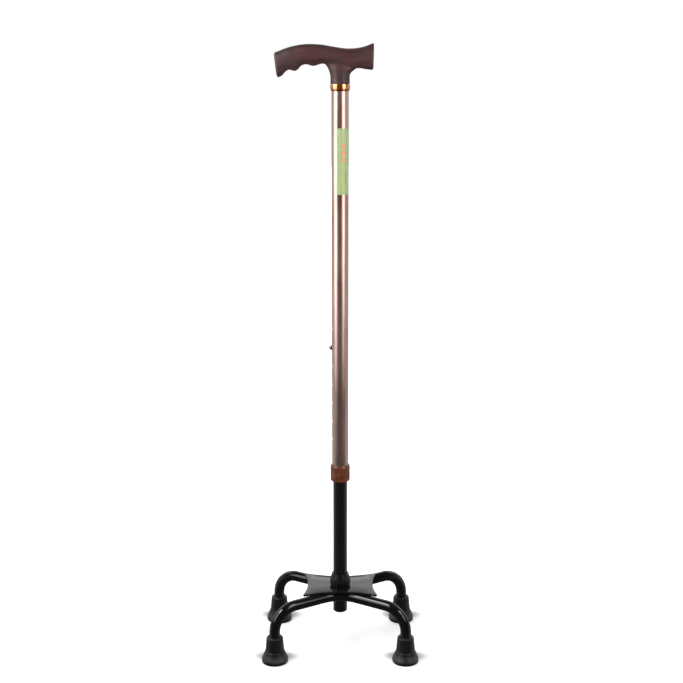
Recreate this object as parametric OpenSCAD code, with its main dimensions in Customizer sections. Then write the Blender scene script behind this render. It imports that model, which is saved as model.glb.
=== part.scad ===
// Walking cane with a four-footed base: T-handle, two telescoping shaft tubes,
// a lock collar, a snap button for the height and a base that swivels under a lock nut.
// Origin: on the floor, on the shaft's axis. +Z up. The long end of the grip points to -X.

/* [Shaft tubes] */
// Outer diameter of the upper tube
upper_d = 22; // [21.5:0.1:22.4]
// Wall thickness of both shaft tubes
tube_wall = 1; // [0.9:0.1:1.1]
// Radial gap between the two shaft tubes
tube_gap = 0.5; // [0.4:0.1:0.7]
// Height of the upper tube's lower end
upper_z = 248; // [247:1:250]
// Length of the upper tube
upper_len = 509; // [480:1:540]
// Height of the lower tube's lower end
lower_z = 46.6; // [45:0.2:48]
// Height of the lower tube's upper end
lower_top_z = 450; // [448:1:460]

/* [Height setting] */
// Height of the snap button
button_z = 419.4; // [415:0.2:420]
// Distance between neighbouring height holes
hole_pitch = 25.4; // [24:0.2:25.6]
// Height holes below the one in use
holes_below = 5; // [1:1:5]
// Height holes above the one in use
holes_above = 1; // [1:1:6]
// Diameter of a height hole
hole_d = 6.5; // [6.3:0.1:7]
// Diameter of the snap button
button_d = 6; // [5:0.2:6.2]
// How far the snap button stands out of the upper tube
button_out = 4; // [3:0.2:4.6]

/* [Handle] */
// Diameter of the handle's neck where it meets the trim ring
neck_d = 24.8; // [24:0.2:25.6]
// Half width of the grip under the palm
grip_half_w = 13; // [12:0.5:15]
// Edge radius of the grip's two end faces
grip_edge_r = 2.5; // [1:0.5:4]
// Outer diameter of the trim ring's band
ring_d = 25.2; // [24.8:0.1:25.6]
// Height of the trim ring's band
ring_h = 6; // [5:0.5:7]
// Height of the small bead under the trim ring's band
bead_h = 3; // [2:0.5:3.5]
// Diameter of the threaded stud between handle and tube
stud_d = 8; // [6:1:10]
// Length of the plug in the upper tube's end
plug_len = 22; // [20:1:30]

/* [Label] */
// Height of the label's lower edge
label_z = 623.5; // [600:0.5:640]
// Height of the label itself
label_h = 84.5; // [60:0.5:90]
// Turn of the label's first edge about the shaft, from +X
label_from = -109; // [-120:1:-90]
// Angle that the label wraps
label_wrap = 89; // [60:1:100]
// Thickness of the label
label_t = 0.15; // [0.1:0.05:0.3]

/* [Lock collar] */
// Height of the collar's lower edge
collar_z = 234.2; // [233:0.1:234.6]
// Height of the collar itself
collar_h = 22.6; // [22:0.2:24]
// Outer diameter of the collar
collar_d = 26.3; // [26:0.1:28]
// Depth of the grooves on the collar's sides
rib_depth = 0.5; // [0.3:0.1:0.7]
// Number of grooves on each side of the collar
rib_count = 9; // [5:1:9]

/* [Base] */
// Distance between the left and right feet
feet_x = 176.2; // [170:0.2:190]
// Distance between the front and back feet
feet_y = 133.2; // [125:0.2:145]
// Outer diameter of the leg tubes
leg_d = 14.5; // [13:0.5:14.5]
// Wall thickness of the leg tubes
leg_wall = 1.4; // [1:0.1:1.6]
// Height of the leg tubes' axis under the plate
leg_z = 72.9; // [71:0.1:75]
// Distance from the shaft's axis to each arch where it passes the socket
leg_pass = 18.1; // [18.1:0.1:20]
// Centreline radius of the bend down to each foot
leg_bend_r = 31; // [26:0.5:34]
// Centreline radius of each arch's bend beside the socket
pass_bend_r = 40; // [25:1:50]
// Plate corner to plate corner, left to right
plate_x = 104; // [94:1:106]
// Plate corner to plate corner, front to back
plate_y = 80; // [72:1:82]
// How far the front and back edges curve in
plate_dip_y = 11.5; // [6:0.5:12]
// How far the left and right edges curve in
plate_dip_x = 7; // [4:0.5:8]
// Thickness of the plate
plate_t = 2.5; // [2:0.1:3]
// How far each plate corner is rounded back
corner_cut = 2.6; // [1:0.2:4]

/* [Base lock] */
// Outer diameter of the socket
socket_d = 21.4; // [21:0.2:21.6]
// Height of the socket's lower end
socket_z = 66.5; // [64:0.5:68]
// Height of the socket's upper end
socket_top_z = 92; // [91:0.2:92.4]
// Outer diameter of the lock nut where it is widest
nut_d = 28.6; // [28:0.2:30]
// Height at which the lock nut is widest
nut_wide_z = 88; // [87:0.5:89]
// Outer diameter of the lock nut's lower end
nut_foot_d = 26.6; // [25:0.2:27]
// Outer diameter of the lock nut's upper end
nut_top_d = 23.6; // [23:0.2:24.6]
// Height of the lock nut's upper end
nut_top_z = 99.6; // [98.6:0.2:101]
// Height of the head of the plug in the shaft's lower end
cap_head_h = 3; // [2:0.5:4]
// How far that plug reaches into the tube
cap_plug_h = 10; // [8:0.5:15]

/* [Feet] */
// Height of each rubber foot
foot_h = 36.5; // [34:0.5:38]
// Diameter of a foot's tread
foot_d = 35.2; // [30:0.2:38]
// Diameter of a foot's upper end
foot_top_d = 22.6; // [20:0.2:24]
// Height of a foot's tread rim
rim_h = 6.5; // [4:0.5:7]
// Depth of the tread's ring grooves
tread_depth = 1.2; // [0.8:0.1:2]

/* [Hidden] */
$fn = 96;

// Gap between parts that touch, gap between parts that move, and how far a cut overshoots
fit = 0.05;
slip = 0.1;
over = 1;

upper_r = upper_d / 2;
upper_bore_r = upper_r - tube_wall;
lower_r = upper_bore_r - tube_gap;
lower_bore_r = lower_r - tube_wall;
upper_top_z = upper_z + upper_len;

// Trim ring and handle stand on the upper tube's end
ring_seat = 0.5;
ring_z = upper_top_z - bead_h + ring_seat;
bead_in = 0.5;
neck_z = ring_z + bead_h + ring_h;
neck_r = neck_d / 2;
stud_hole_h = 28;
stud_above_plug = 4;
stud_z = upper_top_z - plug_len + stud_above_plug;

// Snap button: dome, stem and a flange inside the lower tube
button_r = button_d / 2;
button_tip = upper_r + button_out;
button_play = 0.4;
flange_r = button_r + 1;
flange_t = 1;
flange_x = sqrt(pow(lower_bore_r, 2) - pow(flange_r, 2)) - slip;

// V spring: a back arm on the far wall, a bow, and a front arm behind the button
spring_t = 0.5;
spring_w = 5;
spring_bow_r = 3;
spring_back_x = sqrt(pow(lower_bore_r, 2) - pow(spring_w / 2, 2)) - spring_t / 2 - slip;
spring_below = 29.5;
spring_bow_z = button_z - spring_below;
spring_back_h = 42;
spring_lean = 13;
spring_front_len = 35;

// Gap under the label, where its glue would be
label_gap = 0.02;

// Guide bush: a liner in the tube's end, a flange below it and a threaded end
bush_liner_h = 36;
bush_flange_h = 2.4;
bush_thread_h = 6.4;
bush_thread_r = lower_r + 1.5;
bush_z = upper_z - bush_flange_h - bush_thread_h;
split_w = 1.2;
split_h = 5.6;
split_count = 4;

// Compression ring and the seat for it in the collar
squeeze_h = 2.6;
squeeze_z = bush_z - squeeze_h - fit;
squeeze_r = lower_r + 1.3;
collar_r = collar_d / 2;
collar_chamfer = 1;
collar_chamfer_in = 1.2;
collar_edge_r = 1.6;
collar_seat_z = squeeze_z - fit;
collar_skirt = 9;
rib_w = 0.8;
rib_margin = 3;
rib_z = collar_z + rib_margin;
rib_h = collar_h - 2 * rib_margin;
rib_step = 8;

// Base lock: the stop ring turns on the socket, the washer and the nut hold it down
plate_z = leg_z + leg_d / 2 + fit;
plate_top_z = plate_z + plate_t;
socket_r = socket_d / 2;
stop_h = 2.6;
stop_z = socket_top_z + fit;
washer_h = 1;
washer_z = stop_z + stop_h + fit;
nut_shoulder_z = washer_z + washer_h + fit;
nut_r = nut_d / 2;
nut_gap = 0.3;
nut_z = plate_top_z + nut_gap;
nut_band_h = 2;
nut_crown = 0.6;
nut_flute_count = 16;
nut_flute_r = 1.4;
nut_flute_depth = 0.45;

// Shaft end plug
cap_z = lower_z - fit - cap_head_h;
cap_edge = 1.2;

// Legs: each arch is an arc beside the socket, tangent to a straight run to each foot
leg_r = leg_d / 2;
arch_drop = feet_y / 2 - leg_pass - pass_bend_r;
arch_reach = norm([feet_x / 2, arch_drop]);
leg_turn = asin(pass_bend_r / arch_reach) + atan2(arch_drop, feet_x / 2);
leg_run = sqrt(pow(arch_reach, 2) - pow(pass_bend_r, 2)) - leg_bend_r;
bend_overlap = 5;
disc_z = 4.5;
disc_t = 1.5;
leg_end_z = disc_z + disc_t + fit;

// Feet
foot_r = foot_d / 2;
foot_top_r = foot_top_d / 2;
foot_mid_r = foot_top_r + 2.1;
foot_mid_z = 15.4;
foot_shoulder_r = 3.6;
foot_edge = 0.6;
tread_rings = [6, 10, 14];
tread_w = 1.6;

// Outline of the grip, one row per station along its length: upper edge x and height above
// the neck's foot, lower edge x and height above it, half width
GRIP = [
    [-84, 38.8, -80.4, 9, 10],
    [-78, 41, -77.4, 8.4, 11],
    [-72.5, 43.2, -73, 11.2, 11.5],
    [-68, 44.8, -69, 15.6, 11.8],
    [-64, 46, -64.6, 17.6, 12.2],
    [-57.5, 47.5, -57.6, 16.1, 12.5],
    [-53, 48.4, -53.4, 18.2, 12.7],
    [-49, 49, -49.2, 22.6, 12.8],
    [-43, 49.5, -43, 24.3, grip_half_w],
    [-33.5, 49.5, -33.5, 22.3, grip_half_w],
    [-22.5, 48.7, -22.5, 25.1, grip_half_w],
    [-10, 46.6, -10, 23, grip_half_w],
    [4, 44.5, 4, 20, grip_half_w],
    [14, 44.1, 14, 18.6, 12.6],
    [24, 45, 24, 19.5, 12.2],
    [33, 47.3, 33, 18.2, 11.6],
    [43, 51.4, 42.2, 17.2, 11]
];
GRIP_POWER = 2.5;
GRIP_STEPS = 4;
GRIP_SIDES = 28;

// Neck of the handle, one row per height above its foot: height, reach to -X, to +X, half width
NECK = [
    [0, neck_r, neck_r, neck_r],
    [9, neck_r, neck_r, neck_r],
    [12, 12.8, 12.9, 12.5],
    [15, 13.6, 15, 12.6],
    [18, 14.8, 19, 12.4],
    [22, 17, 21, 11.8],
    [26, 20.5, 21, 10.5]
];
NECK_STEPS = 3;

// Catmull-Rom curve through four neighbouring rows at t from 0 to 1
function curve(a, b, c, d, t) =
    (2 * b + (c - a) * t + (2 * a - 5 * b + 4 * c - d) * t * t + (3 * b - a - 3 * c + d) * pow(t, 3)) / 2;

// Rows of a smooth curve through all given rows
function smooth(rows, steps) = [
    for (i = [0 : len(rows) - 2], j = [0 : steps - 1])
        curve(rows[max(i - 1, 0)], rows[i], rows[i + 1], rows[min(i + 2, len(rows) - 1)], j / steps),
    rows[len(rows) - 1]
];

function signed_pow(v, p) = sign(v) * pow(abs(v), p);

// How far a rounded edge of radius r pulls a section in at distance d from the end face
function edge_pull(r, d) = d >= r ? 0 : r - sqrt(r * r - pow(r - d, 2));

// One closed ring of the grip: s is a station row, pull insets it
function grip_ring(s, pull) = [
    for (i = [0 : GRIP_SIDES - 1])
        let (
            a = 360 * i / GRIP_SIDES,
            up = signed_pow(sin(a), 2 / GRIP_POWER),
            out = signed_pow(cos(a), 2 / GRIP_POWER),
            half_h = (s[1] - s[3]) / 2,
            k = (1 + up * (half_h - pull) / half_h) / 2
        )
        [s[2] + (s[0] - s[2]) * k, out * (s[4] - pull), neck_z + s[3] + (s[1] - s[3]) * k]
];

// One closed ring of the neck: n is a neck row
function neck_ring(n) = [
    for (i = [0 : GRIP_SIDES - 1])
        let (a = 360 * i / GRIP_SIDES)
        [cos(a) * (cos(a) < 0 ? n[1] : n[2]), sin(a) * n[3], neck_z + n[0]]
];

// Solid skin over a stack of rings with the same number of points
module skin(rings) {
    count = len(rings[0]);
    last = len(rings) - 1;
    points = [for (ring = rings, p = ring) p];
    sides = [
        for (k = [0 : last - 1], i = [0 : count - 1], half = [0, 1])
            let (a = k * count + i, b = k * count + (i + 1) % count)
            half == 0 ? [a, b + count, b] : [a, a + count, b + count]
    ];
    bottom = [for (i = [0 : count - 1]) i];
    top = [for (i = [count - 1 : -1 : 0]) last * count + i];
    polyhedron(points, concat(sides, [bottom, top]));
}

module pipe(outer_r, inner_r, length) {
    difference() {
        cylinder(r = outer_r, h = length);
        translate([0, 0, -over]) cylinder(r = inner_r, h = length + 2 * over);
    }
}

// Moves a child from the shaft's axis to the -X side, pointing outwards
module at_button(height) {
    translate([0, 0, height]) rotate([0, -90, 0]) children();
}

module handle_grip() {
    stations = smooth(GRIP, GRIP_STEPS);
    count = len(stations);
    color("#4b3431")
    difference() {
        union() {
            skin([
                for (i = [0 : count - 1])
                    let (
                        from_back = abs(stations[i][0] - stations[0][0]),
                        from_front = abs(stations[count - 1][0] - stations[i][0])
                    )
                    grip_ring(stations[i], edge_pull(grip_edge_r, min(from_back, from_front)))
            ]);
            skin([for (n = smooth(NECK, NECK_STEPS)) neck_ring(n)]);
        }
        translate([0, 0, neck_z - over]) cylinder(d = stud_d + 2 * fit, h = stud_hole_h + over);
    }
}

module handle_stud() {
    color("silver")
    translate([0, 0, stud_z]) cylinder(d = stud_d, h = neck_z + stud_hole_h - stud_z - fit);
}

module tube_top_plug() {
    color("silver")
    translate([0, 0, upper_top_z - plug_len])
        pipe(upper_bore_r - fit, stud_d / 2 + fit, plug_len);
}

module trim_ring() {
    band_z = ring_z + bead_h;
    color("#d08a2e")
    difference() {
        union() {
            translate([0, 0, ring_z]) cylinder(r = ring_d / 2 - bead_in, h = bead_h);
            translate([0, 0, band_z]) cylinder(d = ring_d, h = ring_h - fit);
        }
        translate([0, 0, ring_z - over]) cylinder(r = upper_r + fit, h = upper_top_z + fit - ring_z + over);
        translate([0, 0, ring_z]) cylinder(d = stud_d + 2 * fit, h = bead_h + ring_h + over);
    }
}

module upper_tube() {
    color("#b98f7c")
    difference() {
        translate([0, 0, upper_z]) pipe(upper_r, upper_bore_r, upper_len);
        for (i = [-holes_below : holes_above])
            at_button(button_z + i * hole_pitch) cylinder(d = hole_d, h = upper_r + over);
    }
}

module tube_label() {
    color("#b9d28f")
    rotate([0, 0, label_from])
        rotate_extrude(angle = label_wrap)
            translate([upper_r + label_gap, label_z]) square([label_t, label_h]);
}

module guide_bush() {
    flange_z = upper_z - bush_flange_h;
    color("#3a2a20")
    difference() {
        union() {
            translate([0, 0, flange_z]) cylinder(r = upper_bore_r - fit, h = bush_flange_h + bush_liner_h);
            translate([0, 0, flange_z]) cylinder(r = upper_r, h = bush_flange_h - fit);
            translate([0, 0, bush_z]) cylinder(r = bush_thread_r, h = bush_thread_h);
        }
        translate([0, 0, bush_z - over])
            cylinder(r = lower_r + fit, h = upper_z + bush_liner_h - bush_z + 2 * over);
        for (i = [0 : split_count - 1])
            rotate([0, 0, 45 + i * 360 / split_count])
                translate([lower_r - over, -split_w / 2, bush_z - over])
                    cube([upper_r, split_w, split_h + over]);
    }
}

module compression_ring() {
    color("ivory")
    translate([0, 0, squeeze_z]) pipe(squeeze_r, lower_r + slip, squeeze_h);
}

module lock_collar() {
    color("#5b2f20")
    difference() {
        translate([0, 0, collar_z])
            rotate_extrude()
                difference() {
                    square([collar_r, collar_h]);
                    polygon([
                        [collar_r - collar_chamfer_in, -over],
                        [collar_r - collar_chamfer_in, 0],
                        [collar_r, collar_chamfer],
                        [collar_r + over, collar_chamfer],
                        [collar_r + over, -over]
                    ]);
                    translate([collar_r - collar_edge_r, collar_h - collar_edge_r])
                        difference() {
                            square(collar_edge_r + over);
                            circle(collar_edge_r);
                        }
                }
        // Room for the upper tube and the bush's flange, then the thread, then the lower tube
        translate([0, 0, collar_z + collar_h - collar_skirt])
            cylinder(r = upper_r + slip, h = collar_skirt + over);
        translate([0, 0, collar_seat_z])
            cylinder(r = bush_thread_r + fit, h = upper_z - collar_seat_z);
        translate([0, 0, collar_z - over]) cylinder(r = lower_r + 2 * slip, h = collar_h);
        for (side = [0, 180], i = [0 : rib_count - 1])
            rotate([0, 0, side + (i - (rib_count - 1) / 2) * rib_step])
                translate([collar_r - rib_depth, -rib_w / 2, rib_z])
                    cube([rib_depth + over, rib_w, rib_h]);
    }
}

module lower_tube() {
    color("#26262a")
    difference() {
        translate([0, 0, lower_z]) pipe(lower_r, lower_bore_r, lower_top_z - lower_z);
        at_button(button_z) cylinder(d = button_d + button_play, h = lower_r + over);
    }
}

module inner_glide() {
    lip = 5;
    plug = 10;
    wall = 2;
    color("#202020")
    difference() {
        union() {
            translate([0, 0, lower_top_z + fit]) cylinder(r = upper_bore_r - slip, h = lip);
            translate([0, 0, lower_top_z - plug]) cylinder(r = lower_bore_r - fit, h = plug + over);
        }
        translate([0, 0, lower_top_z - plug - over])
            cylinder(r = lower_bore_r - wall, h = plug + lip + 3 * over);
    }
}

module snap_button() {
    color("silver")
    at_button(button_z) {
        translate([0, 0, flange_x - flange_t]) {
            cylinder(r = flange_r, h = flange_t);
            cylinder(r = button_r, h = button_tip - button_r - flange_x + flange_t);
        }
        translate([0, 0, button_tip - button_r]) sphere(r = button_r);
    }
}

module snap_spring() {
    back = spring_back_x;
    color("lightsteelblue")
    translate([0, spring_w / 2, 0]) rotate([90, 0, 0]) linear_extrude(spring_w) {
        translate([back - spring_t / 2, spring_bow_z]) square([spring_t, spring_back_h]);
        translate([back - spring_bow_r, spring_bow_z]) {
            intersection() {
                difference() {
                    circle(spring_bow_r + spring_t / 2);
                    circle(spring_bow_r - spring_t / 2);
                }
                translate([-2 * spring_bow_r, -2 * spring_bow_r])
                    square([4 * spring_bow_r, 2 * spring_bow_r]);
            }
            rotate(spring_lean) translate([-spring_bow_r - spring_t / 2, -spring_t])
                square([spring_t, spring_front_len]);
        }
    }
}

module base_lock_nut() {
    color("#1c1c1e")
    difference() {
        rotate_extrude()
            polygon([
                [0, nut_z],
                [nut_foot_d / 2, nut_z],
                [nut_r, nut_wide_z - nut_band_h / 2],
                [nut_r, nut_wide_z + nut_band_h / 2],
                [(nut_d + nut_top_d) / 4 + nut_crown, (nut_wide_z + nut_top_z) / 2],
                [nut_top_d / 2, nut_top_z],
                [0, nut_top_z]
            ]);
        translate([0, 0, nut_z - over]) cylinder(r = socket_r + slip, h = nut_shoulder_z - nut_z + over);
        cylinder(r = lower_r + 2 * slip, h = nut_top_z + over);
        for (i = [0 : nut_flute_count - 1])
            rotate([0, 0, (i + 0.5) * 360 / nut_flute_count])
                translate([nut_r + nut_flute_r - nut_flute_depth, 0, nut_z - over])
                    cylinder(r = nut_flute_r, h = nut_top_z - nut_z);
    }
}

module thrust_washer() {
    color("ivory")
    translate([0, 0, washer_z]) pipe(socket_r - slip, lower_r + slip, washer_h);
}

module stop_ring() {
    color("silver")
    translate([0, 0, stop_z]) pipe(socket_r - slip, lower_r + fit, stop_h);
}

module base_socket() {
    color("#222224")
    translate([0, 0, socket_z]) pipe(socket_r, lower_r + slip, socket_top_z - socket_z);
}

// Radius of the arc over a chord that dips by the given depth
function dip_radius(chord, dip) = (pow(chord / 2, 2) + dip * dip) / (2 * dip);

module base_plate() {
    side_r = dip_radius(plate_y, plate_dip_x);
    edge_r = dip_radius(plate_x, plate_dip_y);
    corner_r = norm([plate_x, plate_y]) / 2 - corner_cut;
    color("#3a3a3d")
    translate([0, 0, plate_z])
        difference() {
            intersection() {
                translate([-plate_x / 2, -plate_y / 2, 0]) cube([plate_x, plate_y, plate_t]);
                cylinder(r = corner_r, h = plate_t);
            }
            for (s = [-1, 1]) {
                translate([s * (plate_x / 2 - plate_dip_x + side_r), 0, -over])
                    cylinder(r = side_r, h = plate_t + 2 * over);
                translate([0, s * (plate_y / 2 - plate_dip_y + edge_r), -over])
                    cylinder(r = edge_r, h = plate_t + 2 * over);
            }
            translate([0, 0, -over]) cylinder(r = socket_r + fit, h = plate_t + 2 * over);
        }
}

module pipe_bend(centre_r, turn) {
    rotate_extrude(angle = turn)
        translate([centre_r, 0])
            difference() {
                circle(leg_r);
                circle(leg_r - leg_wall);
            }
}

// Right half of an arch, cut off at the middle: bend beside the socket, straight run, bend
// down, upright into the foot
module half_arch() {
    upright = leg_z - leg_bend_r - leg_end_z;
    difference() {
        translate([0, -leg_pass - pass_bend_r, 0]) rotate([0, 0, -leg_turn]) {
            translate([0, 0, leg_z]) rotate([0, 0, 90]) pipe_bend(pass_bend_r, leg_turn + bend_overlap);
            translate([0, pass_bend_r, 0]) {
                translate([0, 0, leg_z]) rotate([0, 90, 0]) pipe(leg_r, leg_r - leg_wall, leg_run);
                translate([leg_run, 0, leg_z - leg_bend_r]) rotate([90, 0, 0]) pipe_bend(leg_bend_r, 90);
                translate([leg_run + leg_bend_r, 0, leg_end_z]) pipe(leg_r, leg_r - leg_wall, upright);
            }
        }
        translate([-leg_d, -feet_y, 0]) cube([leg_d, feet_y, leg_z + leg_d]);
    }
}

module leg_arch() {
    color("#141416") {
        half_arch();
        mirror([1, 0, 0]) half_arch();
    }
}

module front_leg_tube() {
    leg_arch();
}

module back_leg_tube() {
    mirror([0, 1, 0]) leg_arch();
}

// Outline of a foot: flat tread, rim, flare, tapered body, rounded shoulder
module foot_outline() {
    difference() {
        polygon([
            [0, 0],
            [foot_r - foot_edge, 0],
            [foot_r, foot_edge],
            [foot_r, rim_h],
            [foot_mid_r, foot_mid_z],
            [foot_top_r, foot_h - foot_shoulder_r],
            [foot_top_r, foot_h],
            [0, foot_h]
        ]);
        translate([foot_top_r - foot_shoulder_r, foot_h - foot_shoulder_r])
            difference() {
                square(foot_shoulder_r + over);
                circle(foot_shoulder_r);
            }
    }
}

module foot(side, end) {
    color("#242426")
    translate([side * feet_x / 2, end * feet_y / 2, 0])
        difference() {
            rotate_extrude() foot_outline();
            translate([0, 0, disc_z - fit]) cylinder(r = leg_r + fit, h = foot_h);
            for (ring = tread_rings)
                translate([0, 0, -over]) pipe(ring + tread_w / 2, ring - tread_w / 2, tread_depth + over);
        }
}

module foot_front_left() {
    foot(-1, -1);
}

module foot_front_right() {
    foot(1, -1);
}

module foot_back_left() {
    foot(-1, 1);
}

module foot_back_right() {
    foot(1, 1);
}

module foot_discs() {
    color("silver")
    for (side = [-1, 1], end = [-1, 1])
        translate([side * feet_x / 2, end * feet_y / 2, disc_z]) cylinder(r = leg_r - fit, h = disc_t);
}

module shaft_end_cap() {
    color("#1a1a1c")
    translate([0, 0, cap_z]) {
        cylinder(r1 = lower_r - cap_edge, r2 = lower_r, h = cap_edge);
        translate([0, 0, cap_edge]) cylinder(r = lower_r, h = cap_head_h - cap_edge);
        cylinder(r = lower_bore_r - fit, h = cap_head_h + cap_plug_h);
    }
}

handle_grip();
handle_stud();
tube_top_plug();
trim_ring();
upper_tube();
tube_label();
guide_bush();
compression_ring();
lock_collar();
lower_tube();
inner_glide();
snap_button();
snap_spring();
base_lock_nut();
thrust_washer();
stop_ring();
base_socket();
base_plate();
front_leg_tube();
back_leg_tube();
foot_front_left();
foot_front_right();
foot_back_left();
foot_back_right();
foot_discs();
shaft_end_cap();
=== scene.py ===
import math

import bmesh
import bpy
from mathutils import Matrix, Vector


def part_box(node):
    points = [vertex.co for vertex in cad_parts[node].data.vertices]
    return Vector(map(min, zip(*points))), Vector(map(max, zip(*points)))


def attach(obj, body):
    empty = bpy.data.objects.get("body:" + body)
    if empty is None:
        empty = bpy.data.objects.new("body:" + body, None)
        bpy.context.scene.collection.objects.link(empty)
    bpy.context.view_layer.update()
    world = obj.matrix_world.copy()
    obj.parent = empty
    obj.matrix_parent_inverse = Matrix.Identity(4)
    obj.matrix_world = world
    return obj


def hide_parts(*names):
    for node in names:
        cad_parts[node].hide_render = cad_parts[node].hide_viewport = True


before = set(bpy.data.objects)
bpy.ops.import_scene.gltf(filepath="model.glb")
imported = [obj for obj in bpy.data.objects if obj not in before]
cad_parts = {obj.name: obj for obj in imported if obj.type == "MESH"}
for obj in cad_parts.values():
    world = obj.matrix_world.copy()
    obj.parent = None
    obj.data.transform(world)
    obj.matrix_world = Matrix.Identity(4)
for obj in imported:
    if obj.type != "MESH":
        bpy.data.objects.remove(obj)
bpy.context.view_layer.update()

# Outlines are in millimetres, like the part's own drawing; finished meshes are in metres
MM = 0.001
# Sides of a turned piece
SIDES = 128
# Gap between parts that touch
CLEAR = 0.05
# A lathe's ring below this radius is a single point
NO_RADIUS = 0.005
# Edges that turn by more degrees than this stay sharp
SHARP = 35


# ---------------------------------------------------------------- sizes from the frame

def box_mm(node):
    """Lowest and highest corner of a CAD node, in mm."""
    low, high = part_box(node)
    return low / MM, high / MM


def radius_of(node):
    """Half of a CAD node's width, in mm."""
    low, high = box_mm(node)
    return (high.x - low.x) / 2


def centre_of(node):
    """Middle of a CAD node's box, in mm."""
    low, high = box_mm(node)
    return (low + high) / 2


# ---------------------------------------------------------------- mesh helpers

def rounded(points, steps=4):
    """A closed outline of (x, y) corners, with an arc at each corner that has a third number."""
    outline = []
    for i, point in enumerate(points):
        corner = Vector(point[:2])
        if len(point) < 3:
            outline.append(corner)
            continue
        to_last = (Vector(points[i - 1][:2]) - corner).normalized()
        to_next = (Vector(points[(i + 1) % len(points)][:2]) - corner).normalized()
        half = to_last.angle(to_next) / 2
        centre = corner + (to_last + to_next).normalized() * point[2] / math.sin(half)
        start = (corner + to_last * point[2] / math.tan(half) - centre).normalized()
        end = (corner + to_next * point[2] / math.tan(half) - centre).normalized()
        for k in range(steps + 1):
            outline.append(centre + start.slerp(end, k / steps) * point[2])
    return outline


def to_object(bm, name, sharp_degrees=SHARP):
    """A linked object of the finished mesh: smooth, but for edges sharper than that angle."""
    bmesh.ops.recalc_face_normals(bm, faces=bm.faces)
    mesh = bpy.data.meshes.new(name)
    bm.to_mesh(mesh)
    bm.free()
    mesh.shade_smooth()
    mesh.set_sharp_from_angle(angle=math.radians(sharp_degrees))
    piece = bpy.data.objects.new(name, mesh)
    bpy.context.scene.collection.objects.link(piece)
    return piece


def bridge(bm, ring, above):
    """Faces between two rings, where a ring of one point is a pole."""
    sides = max(len(ring), len(above))
    if sides == 1:
        return
    for k in range(sides):
        nxt = (k + 1) % sides
        lower = [ring[k % len(ring)], ring[nxt % len(ring)]]
        upper = [above[nxt % len(above)], above[k % len(above)]]
        unique = list(dict.fromkeys(lower + upper))
        if len(unique) > 2:
            bm.faces.new(unique)


def lathe(name, outline, sides=SIDES, centre=(0, 0), sharp_degrees=SHARP, bend=None):
    """Turns a closed outline of (radius, height) about the Z axis.

    bend(angle, r, z) may change a radius.
    """
    bm = bmesh.new()
    rings = []
    for r, z in outline:
        if r < NO_RADIUS:
            rings.append([bm.verts.new(Vector((centre[0], centre[1], z)) * MM)])
            continue
        ring = []
        for k in range(sides):
            angle = 2 * math.pi * k / sides
            at = bend(angle, r, z) if bend else r
            spot = Vector((centre[0] + at * math.cos(angle), centre[1] + at * math.sin(angle), z))
            ring.append(bm.verts.new(spot * MM))
        rings.append(ring)
    for ring, above in zip(rings, rings[1:] + rings[:1]):
        bridge(bm, ring, above)
    return to_object(bm, name, sharp_degrees)


# A direction that no tube runs in
ASKEW = Vector((0.3, 0.5, 0.8))


def sweep(name, centres, radii, sides=64):
    """A hollow tube round a list of centre points, with outer and inner radius."""
    bm = bmesh.new()
    before = [centres[0]] + centres[:-1]
    after = centres[1:] + [centres[-1]]
    tangents = [(b - a).normalized() for a, b in zip(before, after)]
    side = tangents[0].cross(ASKEW).normalized()
    shells = ([], [])
    for centre, tangent in zip(centres, tangents):
        side = (side - tangent * side.dot(tangent)).normalized()
        other = tangent.cross(side)
        for radius, shell in zip(radii, shells):
            ring = []
            for k in range(sides):
                a = 2 * math.pi * k / sides
                out = side * math.cos(a) + other * math.sin(a)
                ring.append(bm.verts.new((centre + out * radius) * MM))
            shell.append(ring)
    for shell in shells:
        for ring, above in zip(shell, shell[1:]):
            bridge(bm, ring, above)
    bridge(bm, shells[0][0], shells[1][0])
    bridge(bm, shells[0][-1], shells[1][-1])
    return to_object(bm, name)


def curve_row(rows, i, t):
    """A Catmull-Rom point t of the way from row i to row i + 1."""
    a, b, c, d = (Vector(rows[min(max(k, 0), len(rows) - 1)]) for k in (i - 1, i, i + 1, i + 2))
    square = 2 * a - 5 * b + 4 * c - d
    cube = 3 * b - a - 3 * c + d
    return 0.5 * (2 * b + (c - a) * t + square * t * t + cube * t ** 3)


def smooth_rows(rows, steps):
    """Rows of a smooth curve through all given rows."""
    out = [curve_row(rows, i, j / steps) for i in range(len(rows) - 1) for j in range(steps)]
    return out + [Vector(rows[-1])]


def loft(bm, rings):
    """A closed skin over rings of points."""
    loops = [[bm.verts.new(Vector(p) * MM) for p in ring] for ring in rings]
    for ring, above in zip(loops, loops[1:]):
        bridge(bm, ring, above)
    bm.faces.new(loops[0])
    bm.faces.new(loops[-1])


def with_modifier(piece, kind, **settings):
    """Applies one modifier to a piece's mesh."""
    modifier = piece.modifiers.new(kind.lower(), kind)
    for key, value in settings.items():
        setattr(modifier, key, value)
    evaluated = piece.evaluated_get(bpy.context.evaluated_depsgraph_get())
    mesh = bpy.data.meshes.new_from_object(evaluated)
    piece.modifiers.clear()
    piece.data = mesh
    return piece


def turned(piece, matrix):
    """Moves a piece's mesh, so that its object stays at the origin."""
    piece.data.transform(matrix)
    return piece


def smoothstep(low, high, value):
    """Rises softly from 0 at low to 1 at high."""
    t = min(max((value - low) / (high - low), 0), 1)
    return t * t * (3 - 2 * t)


# ---------------------------------------------------------------- handle

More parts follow.
